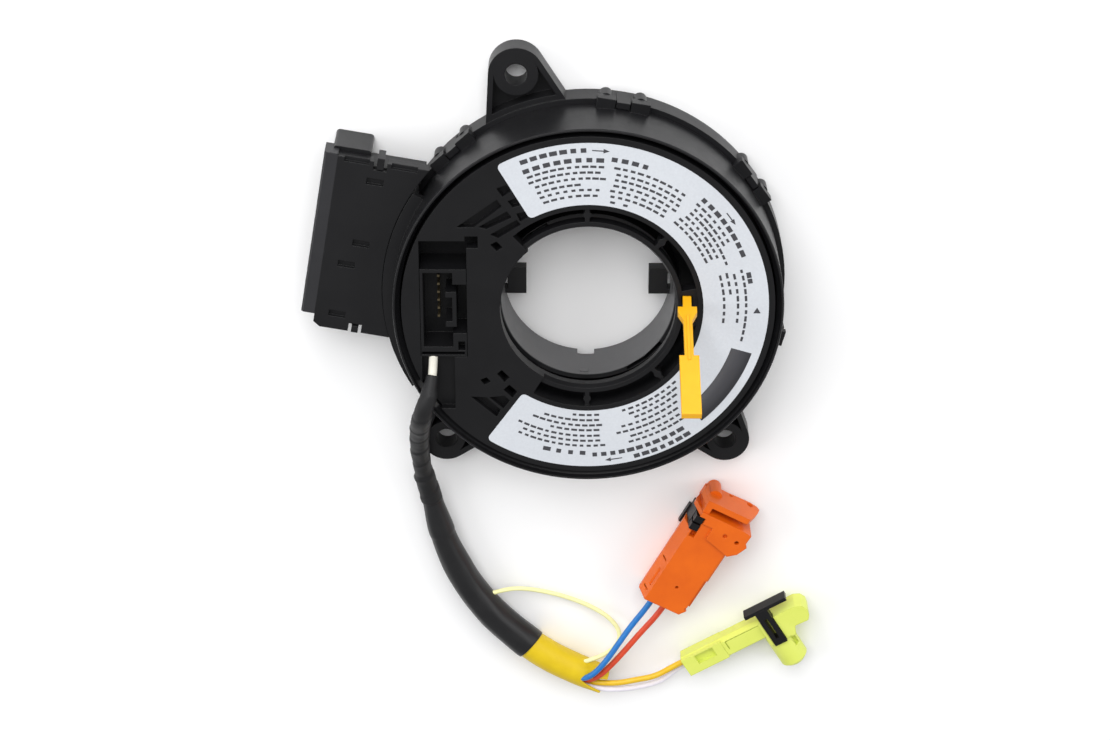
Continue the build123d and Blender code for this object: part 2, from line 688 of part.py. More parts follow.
def yellow_plug():
    """Smaller two-way plug, whose stem is thinner than the round barrel that mates to its right."""
    right = -yellow_right
    left = yellow_left
    low = yellow_low
    top = yellow_top
    long = yellow_length
    stem = extrude(plug_section(
        (right + 0.6, low), (left - 1.5, low), (left - 0.6, low + 0.9), (left, top - 1.3), (left - 0.9, top),
        (right + 0.5, top), (right, top - 0.5), (right, low + 0.6)), long + 1)
    collar = slab(polygon((0, right), (0, left - 0.3), (12.2, left - 0.3), (12.2, right)),
                  low + 1.2, top + 0.25)
    window = block(5.6, 2.9, top - 1.2, top + 1, (6.7, -0.85))
    seam = block(long - 13.4, 0.25, top - 0.5, top + 1, ((long + 13.4) / 2, 0.2))
    end_seam = block(0.3, 2.6, top - 0.5, top + 1, (13.4, 0.2 - 1.3))
    stem = stem + collar - window - seam - end_seam
    head = slab(fillet(polygon(
        (long - 1.0, right), (long - 1.0, left - 0.2), (long + 10.4, left), (long + 12.2, left - 0.9),
        (long + 12.9, left - 2.5), (long + 12.6, -3.0), (long + 11.6, -4.5), (long + 7.6, -4.3),
        (long + 6.5, -6.9), (long - 1.0, -6.9)).vertices(), 0.5), yellow_head_low, yellow_head_top)
    barrel_length = barrel_end - barrel_start
    barrel = Cylinder(barrel_radius, barrel_length, align=(Align.CENTER, Align.CENTER, Align.MIN))
    barrel = chamfer(barrel.edges().group_by(Axis.Z)[-1], 1.1)
    bore = Pos(0, 0, barrel_length / 2) * Cylinder(
        barrel_radius - 1.3, barrel_length, align=(Align.CENTER, Align.CENTER, Align.MIN))
    barrel = Pos(barrel_along, -barrel_start, barrel_height) * Rot(90, 0, 0) * (barrel - bore)
    key_slot = block(0.9, 4.4, barrel_height + 1, yellow_head_top + 1, (barrel_along + 3.2, -8.8))
    seat = block(yellow_lock_width + 0.3, 11.6, yellow_lock_floor - 0.1, yellow_head_top + 3,
                 (yellow_lock_at, -1.6))
    return stem + head + barrel - key_slot - seat


def yellow_plug_lock():
    """T-shaped lock, with its bar standing clear of the plug's left side."""
    low = yellow_lock_floor
    top = yellow_lock_top
    end = -7.2
    stem = block(yellow_lock_width, yellow_bar_left + 0.5 - end, low, top,
                 (yellow_lock_at, (yellow_bar_left + 0.5 + end) / 2))
    slot = block(0.9, 7.0, low - 1, top + 1, (yellow_lock_at, -1.6))
    bar = block(12.6, 1.0, low - 1.0, top - 0.2, (yellow_bar_at, yellow_bar_left + 0.5))
    return stem + bar - slot


# ---------- cords ----------
def cord_radii(points):
    """For each corner, 0.45 of its shorter run over the tangent of half the turn."""
    vectors = [Vector(*b) - Vector(*a) for a, b in zip(points, points[1:])]
    radii = []
    for before, after in zip(vectors, vectors[1:]):
        turn = radians(before.get_angle(after))
        radii.append(0.45 * min(before.length, after.length) / tan(turn / 2))
    return radii


def cord(name, points, diameter):
    """Straight runs joined by tangent arcs, swept with a round section."""
    radii = cord_radii(points)
    path = FilletPolyline(*points, radius=radii)
    section = Plane(origin=path @ 0, z_dir=path % 0) * Circle(diameter / 2)
    tube = sweep(section, path)
    expected = pi * diameter ** 2 / 4 * path.length
    print(name, "length", round(path.length, 1), "volume ratio", round(tube.volume / expected, 4),
          "least radius", round(min(radii), 1), "lowest", round(tube.bounding_box().min.Z, 2))
    return tube


lead_route = [(-38.4, -13.1, 20.9), (-38.5, -15.6, 21.2), (-38.7, -18.3, 22.3)]
neck_route = [(-38.7, -18.2, 22.5), (-39.2, -21.4, 24.5), (-40.6, -25.6, 26.0), (-41.7, -30.2, 23.8),
              (-42.5, -36.2, 18.2), (-43.0, -44.2, 12.6), (-42.7, -52.4, 8.4),
              (-41.8, -58.8, 5.7), (-40.5, -64.6, 4.9)]
sleeve_route = [(-40.5, -64.6, 4.9), (-38.9, -72.3, 4.65), (-36.2, -80.7, 4.6), (-32.8, -88.7, 4.6),
                (-28.0, -96.8, 4.6), (-21.4, -105.0, 4.6), (-13.7, -111.9, 4.6)]
tube_route = [(-13.7, -111.9, 4.6), (-8.8, -115.7, 4.5), (-3.6, -119.2, 4.4), (0.8, -122.2, 4.3),
              (5.2, -125.0, 4.25)]


def wire_entry(at, turn, right, height, out):
    return plug_point(at, turn, -out, right, height)


blue_route = [(-3.6, -118.6, 5.2), (-0.4, -118.7, 6.8), (2.9, -117.1, 8.6), (6.0, -113.6, 8.6),
              (9.1, -109.2, 7.6),
              (12.8, -104.0, 6.4), wire_entry(orange_at, orange_turn, -0.9, 6.0, 4.6),
              wire_entry(orange_at, orange_turn, -0.9, 6.0, 0)]
red_route = [(-3.0, -120.2, 5.4), (0.6, -120.6, 7.4), (4.0, -118.9, 8.9), (7.5, -115.2, 8.1),
             (11.4, -110.6, 6.8),
             (15.6, -105.6, 6.0), wire_entry(orange_at, orange_turn, 2.9, 6.0, 5.0),
             wire_entry(orange_at, orange_turn, 2.9, 6.0, 0)]
amber_route = [(-2.4, -121.9, 4.8), (1.2, -122.4, 7.0), (5.4, -122.9, 8.0), (9.8, -123.6, 6.8),
               (14.6, -123.2, 5.6),
               (20.0, -122.0, 4.8), wire_entry(yellow_at, yellow_turn, 1.2, 4.4, 3.6),
               wire_entry(yellow_at, yellow_turn, 1.2, 4.4, 0)]
white_route = [(-2.0, -123.6, 4.4), (1.4, -124.3, 6.2), (5.6, -125.9, 6.9), (10.6, -127.0, 5.0),
               (16.0, -126.8, 3.6),
               (21.6, -124.8, 3.0), wire_entry(yellow_at, yellow_turn, 3.0, 3.2, 3.4),
               wire_entry(yellow_at, yellow_turn, 3.0, 3.2, 0)]
loop_route = [(-26.6, -95.2, 4.8), (-22.6, -94.0, 4.2), (-16.8, -94.0, 2.8), (-7.4, -96.8, 1.5),
              (0.4, -99.9, 1.5),
              (7.0, -103.6, 2.4), (10.2, -107.8, 3.8), (9.3, -111.7, 4.4), (6.0, -114.4, 4.8),
              (2.6, -115.8, 5.2),
              (-0.8, -116.9, 5.4)]


# ---------- build ----------
os.makedirs("parts", exist_ok=True)

parts = {
    "upper_casing": upper_casing(),
    "lower_housing": lower_housing(),
    "connector_box": connector_box(),
    "box_cover": box_cover(),
    "box_end_cap": box_end_cap(),
    "vehicle_contacts": box_contacts(main_socket_at, main_socket, 2, 4, main_pitch),
    "airbag_contacts": box_contacts(airbag_socket_at, airbag_socket, 1, 2, airbag_pitch),
    "rotor_cover": rotor_cover(),
    "rotor_hub": rotor_hub(),
    "cancel_sleeve": cancel_sleeve(),
    "switch_socket": switch_socket(),
    "socket_pins": socket_pins(),
    "face_label": label(),
    "flat_cable": flat_cable(),
    "lock_pin": lock_pin(),
    "orange_plug": plug_place(orange_at, orange_turn) * orange_plug(),
    "orange_plug_lock": plug_place(orange_at, orange_turn) * orange_plug_lock(),
    "yellow_plug": plug_place(yellow_at, yellow_turn) * yellow_plug(),
    "yellow_plug_lock": plug_place(yellow_at, yellow_turn) * yellow_plug_lock(),
    "socket_lead": cord("socket_lead", lead_route, lead_diameter),
    "harness_neck": cord("harness_neck", neck_route, neck_diameter),
    "harness_sleeve": cord("harness_sleeve", sleeve_route, sleeve_diameter),
    "yellow_tube": cord("yellow_tube", tube_route, tube_diameter),
    "blue_wire": cord("blue_wire", blue_route, wire_diameter),
    "red_wire": cord("red_wire", red_route, wire_diameter),
    "amber_wire": cord("amber_wire", amber_route, wire_diameter),
    "white_wire": cord("white_wire", white_route, wire_diameter),
    "loop_wire": cord("loop_wire", loop_route, loop_diameter),
}

for name, shape in parts.items():
    save(shape, name)
print("nodes", len(parts))
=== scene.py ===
import math

import bmesh
import bpy
from mathutils import Matrix, Vector, noise


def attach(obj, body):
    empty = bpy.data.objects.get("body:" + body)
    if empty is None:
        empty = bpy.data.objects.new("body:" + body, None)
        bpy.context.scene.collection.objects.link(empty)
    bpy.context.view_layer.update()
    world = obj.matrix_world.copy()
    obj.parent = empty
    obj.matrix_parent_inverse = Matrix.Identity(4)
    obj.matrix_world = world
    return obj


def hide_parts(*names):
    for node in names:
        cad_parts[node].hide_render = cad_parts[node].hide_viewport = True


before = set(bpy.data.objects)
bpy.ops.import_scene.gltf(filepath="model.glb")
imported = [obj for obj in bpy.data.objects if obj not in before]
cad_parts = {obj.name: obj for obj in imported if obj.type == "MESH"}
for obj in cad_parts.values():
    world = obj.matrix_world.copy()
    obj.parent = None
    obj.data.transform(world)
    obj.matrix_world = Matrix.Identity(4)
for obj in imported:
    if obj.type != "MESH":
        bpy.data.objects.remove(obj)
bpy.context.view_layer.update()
mm = 0.001
scene = bpy.context.scene
print("frame loaded:", len(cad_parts), "nodes")


# camera and light
camera = {"place": (-8.1, 273.0, 562.6), "tilt": 28.19, "roll": 0.23, "lens": 79.73, "sensorWidth": 36.0}


def makeCamera(c):
    data = bpy.data.cameras.new("camera")
    data.lens = c["lens"]
    data.sensor_width = c["sensorWidth"]
    data.clip_start = 0.01
    eye = bpy.data.objects.new("camera", data)
    scene.collection.objects.link(eye)
    place = Matrix.Translation(Vector(c["place"]) * mm)
    eye.matrix_world = (place @ Matrix.Rotation(math.radians(-c["tilt"]), 4, "X")
                        @ Matrix.Rotation(math.radians(c["roll"]), 4, "Z"))
    scene.camera = eye


makeCamera(camera)
scene.view_settings.view_transform = "Standard"

studio = {
    "worldColour": (1.0, 1.0, 1.0), "worldStrength": 0.45, "floorSize": 4.0, "floorDrop": 0.0002,
    "paperFibre": 60.0, "paperDark": (0.94, 0.94, 0.945), "paperLight": (0.96, 0.96, 0.965),
    "paperRoughness": 0.9,
    "lamps": [  # name, place, aim, size, power, all in metres and watts
        ("topSoftbox", (-0.15, 0.75, 0.75), (0.0, 0.0, 0.0), 0.9, 11.0),
        ("leftSoftbox", (-0.9, 0.1, 0.55), (0.0, -0.05, 0.0), 0.6, 3.5),
        ("rightSoftbox", (0.9, 0.2, 0.6), (0.0, -0.05, 0.0), 0.6, 3.0),
    ],
}


def aimAt(place, target):
    return (Vector(target) - Vector(place)).to_track_quat("-Z", "Y").to_euler()


def makeStudio(s):
    world = bpy.data.worlds.new("studioAir")
    world.use_nodes = True
    air = world.node_tree.nodes["Background"]
    air.inputs["Color"].default_value = (*s["worldColour"], 1.0)
    air.inputs["Strength"].default_value = s["worldStrength"]
    scene.world = world
    for name, place, aim, size, power in s["lamps"]:
        data = bpy.data.lights.new(name, "AREA")
        data.shape = "SQUARE"
        data.size = size
        data.energy = power
        lamp = bpy.data.objects.new(name, data)
        lamp.location = place
        lamp.rotation_euler = aimAt(place, aim)
        scene.collection.objects.link(lamp)


makeStudio(studio)


# materials are written as expressions of their shader sockets
class Wire:
    # one socket; sums, products and powers of it add Math nodes
    def __init__(self, paint, socket):
        self.paint = paint
        self.socket = socket

    def math(self, operation, first, second=0.0, clamp=False):
        settings = {"operation": operation, "use_clamp": clamp}
        return self.paint.add("Math", settings, {0: first, 1: second})

    def __add__(self, other):
        return self.math("ADD", self, other)

    def __radd__(self, other):
        return self.math("ADD", other, self)

    def __sub__(self, other):
        return self.math("SUBTRACT", self, other)

    def __mul__(self, other):
        return self.math("MULTIPLY", self, other)

    def __pow__(self, other):
        return self.math("POWER", self, other)

    def clamped(self):
        return self.math("ADD", self, 0.0, clamp=True)

    def ramp(self, low, high, start=0.0, end=1.0):
        # smooth step from start to end while this goes from low to high
        settings = {"interpolation_type": "SMOOTHSTEP"}
        return self.paint.add("MapRange", settings, {"Value": self, "From Min": low, "From Max": high,
                                                     "To Min": start, "To Max": end})


class Paint:
    def __init__(self, name):
        self.material = bpy.data.materials.new(name)
        self.material.use_nodes = True
        self.tree = self.material.node_tree
        self.tree.nodes.clear()

    def add(self, kind, settings=None, values=None, out=0):
        node = self.tree.nodes.new("ShaderNode" + kind)
        for key, value in (settings or {}).items():
            setattr(node, key, value)
        for key, value in (values or {}).items():
            if isinstance(value, Wire):
                self.tree.links.new(value.socket, node.inputs[key])
            else:
                node.inputs[key].default_value = value
        return Wire(self, node.outputs[out])

    def objectPlace(self):
        return self.add("TexCoord", out=3)

    def scaled(self, vector, scale):
        return self.add("Mapping", {}, {"Vector": vector, "Scale": scale})

    def noise(self, vector, scale, detail=3.0, roughness=0.5):
        return self.add("TexNoise", {},
                        {"Vector": vector, "Scale": scale, "Detail": detail, "Roughness": roughness})

    def mix(self, factor, first, second):
        first = (*first, 1.0) if isinstance(first, tuple) else first
        second = (*second, 1.0) if isinstance(second, tuple) else second
        return self.add("Mix", {"data_type": "RGBA"}, {0: factor, 6: first, 7: second}, out=2)

    def bump(self, height, strength, distance, normal=None):
        values = {"Height": height, "Strength": strength, "Distance": distance}
        if normal is not None:
            values["Normal"] = normal
        return self.add("Bump", {}, values)

    def rounded(self, radius):
        return self.add("Bevel", {"samples": 4}, {"Radius": radius})

    def shader(self, values):
        surface = self.add("BsdfPrincipled", {}, values)
        output = self.tree.nodes.new("ShaderNodeOutputMaterial")
        self.tree.links.new(surface.socket, output.inputs["Surface"])
        return self.material


# plastics, film and metals
def mouldedPlastic(name, look):
    # base colour with faint flow marks, a fine spark-eroded grain, and softened edges
    p = Paint(name)
    place = p.objectPlace()
    grain = p.noise(place, look["grainScale"], 2.0)
    flow = p.noise(place, look["flowScale"], 4.0, 0.6)
    wear = p.noise(place, look["flowScale"] * 3.1, 5.0, 0.65)
    colour = p.mix(flow, look["dark"], look["light"])
    if "wall" in look:
        # painted highlight: the lit inner wall of the column's bore is painted a paler grey than the black
        # plastic around it
        x = p.add("SeparateXYZ", {}, {0: place}, out=0)
        y = p.add("SeparateXYZ", {}, {0: place}, out=1)
        radius = (x * x + y * y) ** 0.5
        low, high = (edge * mm for edge in look["wallSpan"])
        paintedHighlightMask = radius.ramp(low - 0.0001, low) * radius.ramp(high, high + 0.0001, 1.0, 0.0)
        colour = p.mix(paintedHighlightMask, colour, look["wall"])
    roughness = look["roughness"] + (wear - 0.5) * look["roughnessSpread"]
    edges = p.rounded(look["edge"])
    normal = p.bump(grain, look["grainStrength"], look["grainDepth"], edges)
    return p.shader({"Base Color": colour, "Roughness": roughness, "Normal": normal,
                     "IOR": look["ior"], "Specular IOR Level": look["specular"]})


blackLook = {"dark": (0.0045, 0.0045, 0.0052), "light": (0.0085, 0.0085, 0.0095), "grainScale": 3200.0,
             "flowScale": 90.0, "roughness": 0.42, "roughnessSpread": 0.16, "edge": 0.00025,
             "grainStrength": 0.35, "grainDepth": 0.00004, "ior": 1.49, "specular": 0.26}
casingLook = dict(blackLook, dark=(0.006, 0.006, 0.007), light=(0.012, 0.012, 0.013),
                  roughness=0.36, flowScale=60.0)
# painted highlight: wall is the paler grey painted on the bore's lit inner wall, between the span's radii
boreLook = dict(blackLook, roughness=0.38, specular=0.4, wallSpan=(20.9, 21.7), wall=(0.085, 0.085, 0.088))
capLook = dict(blackLook, dark=(0.02, 0.02, 0.022), light=(0.032, 0.032, 0.035), roughness=0.4)
clipLook = dict(blackLook, roughness=0.35)
orangeLook = {"dark": (0.62, 0.090, 0.001), "light": (0.80, 0.145, 0.002), "grainScale": 2600.0,
              "flowScale": 120.0, "roughness": 0.42, "roughnessSpread": 0.14, "edge": 0.0003,
              "grainStrength": 0.25, "grainDepth": 0.00003, "ior": 1.5, "specular": 0.4}
yellowGreenLook = dict(orangeLook, dark=(0.62, 0.70, 0.10), light=(0.74, 0.80, 0.17))
pinLook = dict(orangeLook, dark=(0.80, 0.37, 0.004), light=(0.94, 0.49, 0.014), roughness=0.36)

plastics = {
    "casingPlastic": (casingLook, ["upper_casing", "lower_housing", "connector_box", "box_cover"]),
    "facePlastic": (blackLook, ["rotor_cover", "switch_socket", "rotor_hub"]),
    "borePlastic": (boreLook, ["cancel_sleeve"]),
    "capPlastic": (capLook, ["box_end_cap"]),
    "clipPlastic": (clipLook, ["orange_plug_lock", "yellow_plug_lock"]),
    "orangePlastic": (orangeLook, ["orange_plug"]),
    "yellowGreenPlastic": (yellowGreenLook, ["yellow_plug"]),
    "pinPlastic": (pinLook, ["lock_pin"]),
}


def dress(node, material):
    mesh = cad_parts[node].data
    mesh.materials.clear()
    mesh.materials.append(material)


for materialName, (look, nodes) in plastics.items():
    material = mouldedPlastic(materialName, look)
    for node in nodes:
        dress(node, material)


def labelFilm(look):
    p = Paint("labelFilm")
    place = p.objectPlace()
    weave = p.noise(place, look["weaveScale"], 1.0)
    stain = p.noise(place, look["stainScale"], 4.0, 0.6)
    colour = p.mix((weave * 0.5 + stain * 0.5).clamped(), look["dark"], look["light"])
    normal = p.bump(weave, look["weaveStrength"], look["weaveDepth"])
    return p.shader({"Base Color": colour, "Roughness": look["roughness"], "Normal": normal})


scratchLook = {"stretch": (1.0, 1.0, 8.0), "scale": 2000.0, "roughnessSpread": 0.12}


def platedMetal(name, colour, roughness):
    p = Paint(name)
    scratches = p.noise(p.scaled(p.objectPlace(), scratchLook["stretch"]), scratchLook["scale"], 2.0)
    sheen = roughness + scratches * scratchLook["roughnessSpread"]
    return p.shader({"Base Color": (*colour, 1.0), "Metallic": 1.0, "Roughness": sheen})


filmLook = {"dark": (0.50, 0.52, 0.56), "light": (0.64, 0.67, 0.71), "weaveScale": 1800.0,
            "weaveStrength": 0.2, "weaveDepth": 0.00002, "stainScale": 45.0, "roughness": 0.45}
dress("face_label", labelFilm(filmLook))
dress("flat_cable", platedMetal("cableFilm", (0.5, 0.42, 0.3), 0.4))
brassMaterial = platedMetal("contactMetal", (0.62, 0.5, 0.28), 0.3)
for node in ("vehicle_contacts", "airbag_contacts"):
    dress(node, brassMaterial)
dress("socket_pins", platedMetal("dullPins", (0.16, 0.13, 0.08), 0.5))
print("plastics and metals ready")


# pieces that the scene adds
def newPiece(name, mesh, material, body):
    piece = bpy.data.objects.new(name, mesh)
    scene.collection.objects.link(piece)
    mesh.materials.clear()
    mesh.materials.append(material)
    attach(piece, body)
    return piece


# cords: each spline's control points are the part's own route, in millimetres
def plainSpline(name, points):
    data = bpy.data.curves.new(name, "CURVE")
    data.dimensions = "3D"
    spline = data.splines.new("NURBS")
    spline.points.add(len(points) - 1)
    for point, place in zip(spline.points, points):
        point.co = (*(c * mm for c in place), 1.0)
    spline.order_u = 3
    spline.use_endpoint_u = True
    spline.resolution_u = 12
    return data


def smoothLine(name, points):
    # the spline's own points, read from its mesh
    data = plainSpline(name + "Line", points)
    carrier = bpy.data.objects.new(name + "Line", data)
    scene.collection.objects.link(carrier)
    built = carrier.evaluated_get(bpy.context.evaluated_depsgraph_get())
    mesh = bpy.data.meshes.new_from_object(built)
    line = [v.co.copy() for v in mesh.vertices]
    bpy.data.objects.remove(carrier)
    bpy.data.curves.remove(data)
    bpy.data.meshes.remove(mesh)
    return line


def lengthOf(line):
    return sum((b - a).length for a, b in zip(line, line[1:]))


def evenly(line, step):
    # points a step apart along a line, with both ends
    total = lengthOf(line)
    count = max(2, round(total / step))
    spots = [line[0]]
    walked = 0.0
    wanted = total / count
    for a, b in zip(line, line[1:]):
        run = (b - a).length
        while walked + run >= wanted - 1e-12 and len(spots) < count:
            spots.append(a.lerp(b, (wanted - walked) / run))
            wanted += total / count
        walked += run
    spots.append(line[-1])
    return spots


def ringsAlong(line, form):
    # rings of points round a line; form gives radius, slit and slide, all in millimetres and degrees
    total = lengthOf(line)
    along = 0.0
    rings = []
    for i, spot in enumerate(line):
        ahead = (line[min(i + 1, len(line) - 1)] - line[max(i - 1, 0)]).normalized()
        side = ahead.cross(Vector((0.0, 0.0, 1.0))).normalized()
        rise = side.cross(ahead).normalized()
        along += (spot - line[i - 1]).length if i else 0.0
        t = along / total
        slit = math.radians(form["slit"](t)) if "slit" in form else 0.0
        ring = []
        for k in range(form["sides"] + ("slit" in form)):
            angle = math.pi / 2 + slit / 2 + (2 * math.pi - slit) * k / form["sides"]
            radius = form["radius"](t, along / mm, angle) * mm
            slide = form["slide"](t, angle) * mm if "slide" in form else 0.0
            across = side * radius * math.cos(angle)
            upward = rise * radius * math.sin(angle)
            ring.append(spot + across + upward + ahead * slide)
        rings.append((ring, t))
    return rings


def tubeMesh(name, line, form):
    bm = bmesh.new()
    uv = bm.loops.layers.uv.new("run")
    rows = [([bm.verts.new(spot) for spot in ring], t) for ring, t in ringsAlong(line, form)]
    for (lower, low), (upper, high) in zip(rows, rows[1:]):
        for k in range(form["sides"]):
            other = (k + 1) % len(lower)
            face = bm.faces.new((lower[k], lower[other], upper[other], upper[k]))
            corners = ((k, low), (k + 1, low), (k + 1, high), (k, high))
            for loop, (turn, height) in zip(face.loops, corners):
                loop[uv].uv = (turn / form["sides"], height)
            face.smooth = True
    if "slit" in form:
        bmesh.ops.remove_doubles(bm, verts=bm.verts, dist=1e-6)
    else:
        bm.faces.new(list(reversed(rows[0][0])))
        bm.faces.new(rows[-1][0])
    bmesh.ops.recalc_face_normals(bm, faces=bm.faces)
    mesh = bpy.data.meshes.new(name)
    bm.to_mesh(mesh)
    bm.free()
    return mesh


def profile(stops, t):
    # a smooth value between (place, value) stops
    for (lowT, low), (highT, high) in zip(stops, stops[1:]):
        if t <= highT:
            share = (t - lowT) / (highT - lowT)
            return low + (high - low) * share * share * (3 - 2 * share)
    return stops[-1][1]


def declareCord(piece, look, line, **facts):
    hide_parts(look["node"])
    tuple(c * mm for c in look["points"][0])
    look["length"] * mm
    look["diameter"] * mm
    print(piece.name, "runs", round(lengthOf(line) / mm, 1), "mm")


def clothTape(look):
    # woven tape wound round the neck: fine threads across the winding
    p = Paint("clothTape")
    place = p.objectPlace()
    threads = p.noise(p.scaled(place, look["threadStretch"]), look["threadScale"], 2.0)
    dust = p.noise(place, look["dustScale"], 4.0, 0.6)
    colour = p.mix(dust, look["dark"], look["light"])
    sheen = look["roughness"] + dust * look["roughnessSpread"]
    normal = p.bump(threads, look["threadStrength"], look["threadDepth"])
    return p.shader({"Base Color": colour, "Roughness": sheen, "Specular IOR Level": look["specular"],
                     "Normal": normal})


vinylLook = {"creaseStretch": 1.6, "creaseStrength": 0.6, "creaseDepth": 0.0003, "grainScale": 4000.0,
             "grainStrength": 0.15, "grainDepth": 0.00002, "roughnessSpread": 0.16}


def softVinyl(name, look):
    # thin tubing with long creases and a slightly uneven sheen
    skin = vinylLook
    p = Paint(name)
    place = p.objectPlace()
    run = p.add("UVMap", {"uv_map": "run"})
    creases = p.noise(p.scaled(run, (look["creases"], skin["creaseStretch"], 1.0)), 1.0, 3.0)
    marks = p.noise(place, look["markScale"], 4.0, 0.6)
    colour = p.mix(marks, look["dark"], look["light"])
    folds = p.bump(creases, skin["creaseStrength"], skin["creaseDepth"])
    normal = p.bump(p.noise(place, skin["grainScale"], 1.0), skin["grainStrength"],
                    skin["grainDepth"], folds)
    sheen = look["roughness"] + marks * skin["roughnessSpread"]
    return p.shader({"Base Color": colour, "Roughness": sheen, "Normal": normal,
                     "Specular IOR Level": look["specular"]})


insulationLook = {"markScale": 700.0, "grainScale": 5000.0, "grainStrength": 0.15, "grainDepth": 0.00001,
                  "roughnessSpread": 0.1}


def wirePaint(name, look):
    # smooth insulation with faint handling marks
    skin = insulationLook
    p = Paint(name)
    place = p.objectPlace()
    marks = p.noise(place, skin["markScale"], 3.0, 0.6)
    colour = p.mix(marks, look["dark"], look["light"])
    normal = p.bump(p.noise(place, skin["grainScale"], 1.0), skin["grainStrength"], skin["grainDepth"])
    sheen = look["roughness"] + marks * skin["roughnessSpread"]
    return p.shader({"Base Color": colour, "Roughness": sheen, "Normal": normal})


def bevelledWire(name, look):
    data = plainSpline(name, look["points"])
    data.bevel_depth = look["diameter"] / 2 * mm
    data.bevel_resolution = 6
    data.use_fill_caps = True
    return newPiece(name, data, wirePaint(name, look), "rotor")


socketLead = {
    "node": "socket_lead", "slot": "white_wire", "diameter": 2.2,
    "points": [(-38.4, -13.1, 20.9), (-38.5, -15.6, 21.2), (-38.7, -18.3, 22.3), (-38.9, -19.6, 23.3)],
    "dark": (0.62, 0.60, 0.52), "light": (0.82, 0.80, 0.72), "roughness": 0.4,
}
leadPiece = bevelledWire("socketLead", socketLead)
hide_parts(socketLead["node"])

harnessNeck = {
    "node": "harness_neck", "slot": "tape", "diameter": 5.2, "length": 53.6, "farEnd": "object",
    "stiffness": "medium", "step": 0.35, "wrapPitch": 6.5, "wrapLift": 0.16, "wobble": 0.10,
    "points": [(-38.7, -18.2, 22.5), (-39.2, -21.4, 24.5), (-40.6, -25.6, 26.0), (-41.7, -30.2, 23.8),
               (-42.5, -36.2, 18.2), (-43.0, -44.2, 12.6), (-42.7, -52.4, 8.4), (-41.8, -58.8, 5.7),
               (-40.5, -64.6, 4.9)],
    "radii": [(0.0, 1.45), (0.10, 2.1), (0.28, 2.5), (0.55, 2.45), (0.80, 2.3), (0.83, 2.6), (1.0, 2.8)],
    "flapPlace": 0.84, "flapRise": 0.45,
    "lapFade": 1.15, "bumpScale": 1.3, "bumpAlong": 0.35, "flapLength": 0.012,
    "threadStretch": (1.0, 0.35, 1.0), "threadScale": 2600.0, "threadStrength": 0.5, "threadDepth": 0.00006,
    "roughnessSpread": 0.15, "dustScale": 160.0, "dark": (0.006, 0.006, 0.007),
    "light": (0.013, 0.013, 0.014),
    "roughness": 0.48, "specular": 0.3,
}


def neckRadius(t, along, angle):
    # each turn of tape laps over the one below it, so the skin steps down once a pitch
    look = harnessNeck
    lap = (along / look["wrapPitch"] + angle / (2 * math.pi)) % 1.0
    lift = look["wrapLift"] * max(0.0, 1.0 - lap * look["lapFade"])
    spot = Vector((math.cos(angle), math.sin(angle), along * look["bumpAlong"])) * look["bumpScale"]
    bumps = noise.noise(spot) * look["wobble"]
    # the tape's loose end stands up over a short stretch, on one side
    flap = look["flapRise"] * math.exp(-((t - look["flapPlace"]) / look["flapLength"]) ** 2)
    flap = flap * max(0.0, math.cos(angle)) ** 6
    return profile(look["radii"], t) + lift + bumps + flap


neckLine = evenly(smoothLine("harnessNeck", harnessNeck["points"]), harnessNeck["step"] * mm)
neckMesh = tubeMesh("harnessNeck", neckLine, {"radius": neckRadius, "sides": 40})
neckPiece = newPiece("harnessNeck", neckMesh, clothTape(harnessNeck), "rotor")
declareCord(neckPiece, harnessNeck, neckLine, path=neckLine, with_pieces=[leadPiece])

harnessSleeve = {
    "node": "harness_sleeve", "slot": "sleeve_vinyl", "diameter": 9.0, "length": 55.6, "farEnd": "fitting",
    "stiffness": "medium", "step": 0.4,
    "points": [(-40.5, -64.6, 4.9), (-38.9, -72.3, 4.65), (-36.2, -80.7, 4.6), (-32.8, -88.7, 4.6),
               (-28.0, -96.8, 4.6), (-21.4, -105.0, 4.6), (-13.7, -111.9, 4.6)],
    "radii": [(0.0, 2.75), (0.19, 3.55), (0.2, 3.42), (0.45, 3.95), (0.75, 4.3), (0.97, 4.5), (1.0, 4.4)],
    "flatten": 0.03, "flattenTurn": 1.1, "wobble": 0.12, "bumpRound": 1.6, "bumpAlong": 0.12,
    "rimBack": 2.0, "rimStart": 0.9, "rimRun": 0.1,
    "creases": 9.0, "markScale": 200.0, "dark": (0.006, 0.006, 0.007), "light": (0.013, 0.013, 0.014),
    "roughness": 0.32, "specular": 0.35,
}


def sleeveRadius(t, along, angle):
    look = harnessSleeve
    oval = 1.0 + look["flatten"] * math.cos(2 * (angle - look["flattenTurn"]))
    spot = Vector((math.cos(angle) * look["bumpRound"], math.sin(angle) * look["bumpRound"],
                   along * look["bumpAlong"]))
    return profile(look["radii"], t) * oval + noise.noise(spot) * look["wobble"]


def sleeveSlide(t, angle):
    # the rim at the tube is pulled back over the top
    look = harnessSleeve
    near = max(0.0, (t - look["rimStart"]) / look["rimRun"])
    return -look["rimBack"] * near * (0.45 + 0.55 * math.sin(angle))


sleeveLine = evenly(smoothLine("harnessSleeve", harnessSleeve["points"]), harnessSleeve["step"] * mm)
sleeveMesh = tubeMesh("harnessSleeve", sleeveLine,
                      {"radius": sleeveRadius, "slide": sleeveSlide, "sides": 48})
sleevePiece = newPiece("harnessSleeve", sleeveMesh, softVinyl("sleeveVinyl", harnessSleeve), "rotor")

